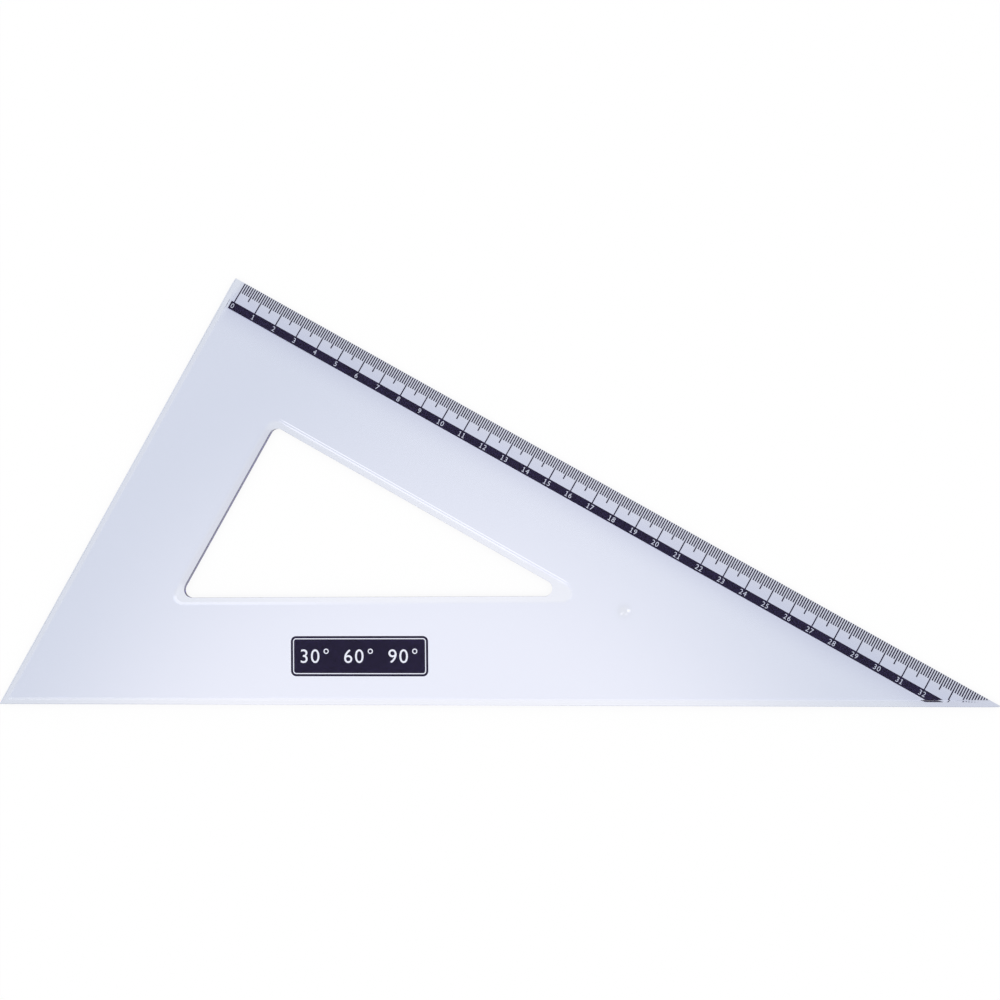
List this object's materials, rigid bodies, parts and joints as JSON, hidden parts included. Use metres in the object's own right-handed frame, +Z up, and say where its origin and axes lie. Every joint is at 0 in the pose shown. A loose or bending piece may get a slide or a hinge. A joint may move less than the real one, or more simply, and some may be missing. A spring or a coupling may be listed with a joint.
{
  "type": "drafting triangle",
  "caption": "Flat clear 30/60/90 drafting triangle with a triangular cut-out, a bevelled graduated edge and a centimetre scale printed on its underside.",
  "frame": {"origin": "under the centre of the plate's bounding box, on the surface that it lies on", "axes": "+X along the graduated long leg, away from the right angle; +Y from the hypotenuse side towards the graduated edge, along the short leg; +Z up, out of the bevelled top face"},
  "size_m": [0.3528, 0.204, 0.003],
  "materials": {
    "clear_polystyrene": "clear, faintly blue, polished moulding",
    "printing_ink": "dark purple-black printing ink"
  },
  "bodies": {
    "root": {"clear_plate": "clear_polystyrene", "number_band": "printing_ink", "centimetre_marks": "printing_ink", "half_centimetre_marks": "printing_ink", "millimetre_marks": "printing_ink"}
  },
  "joints": []
}
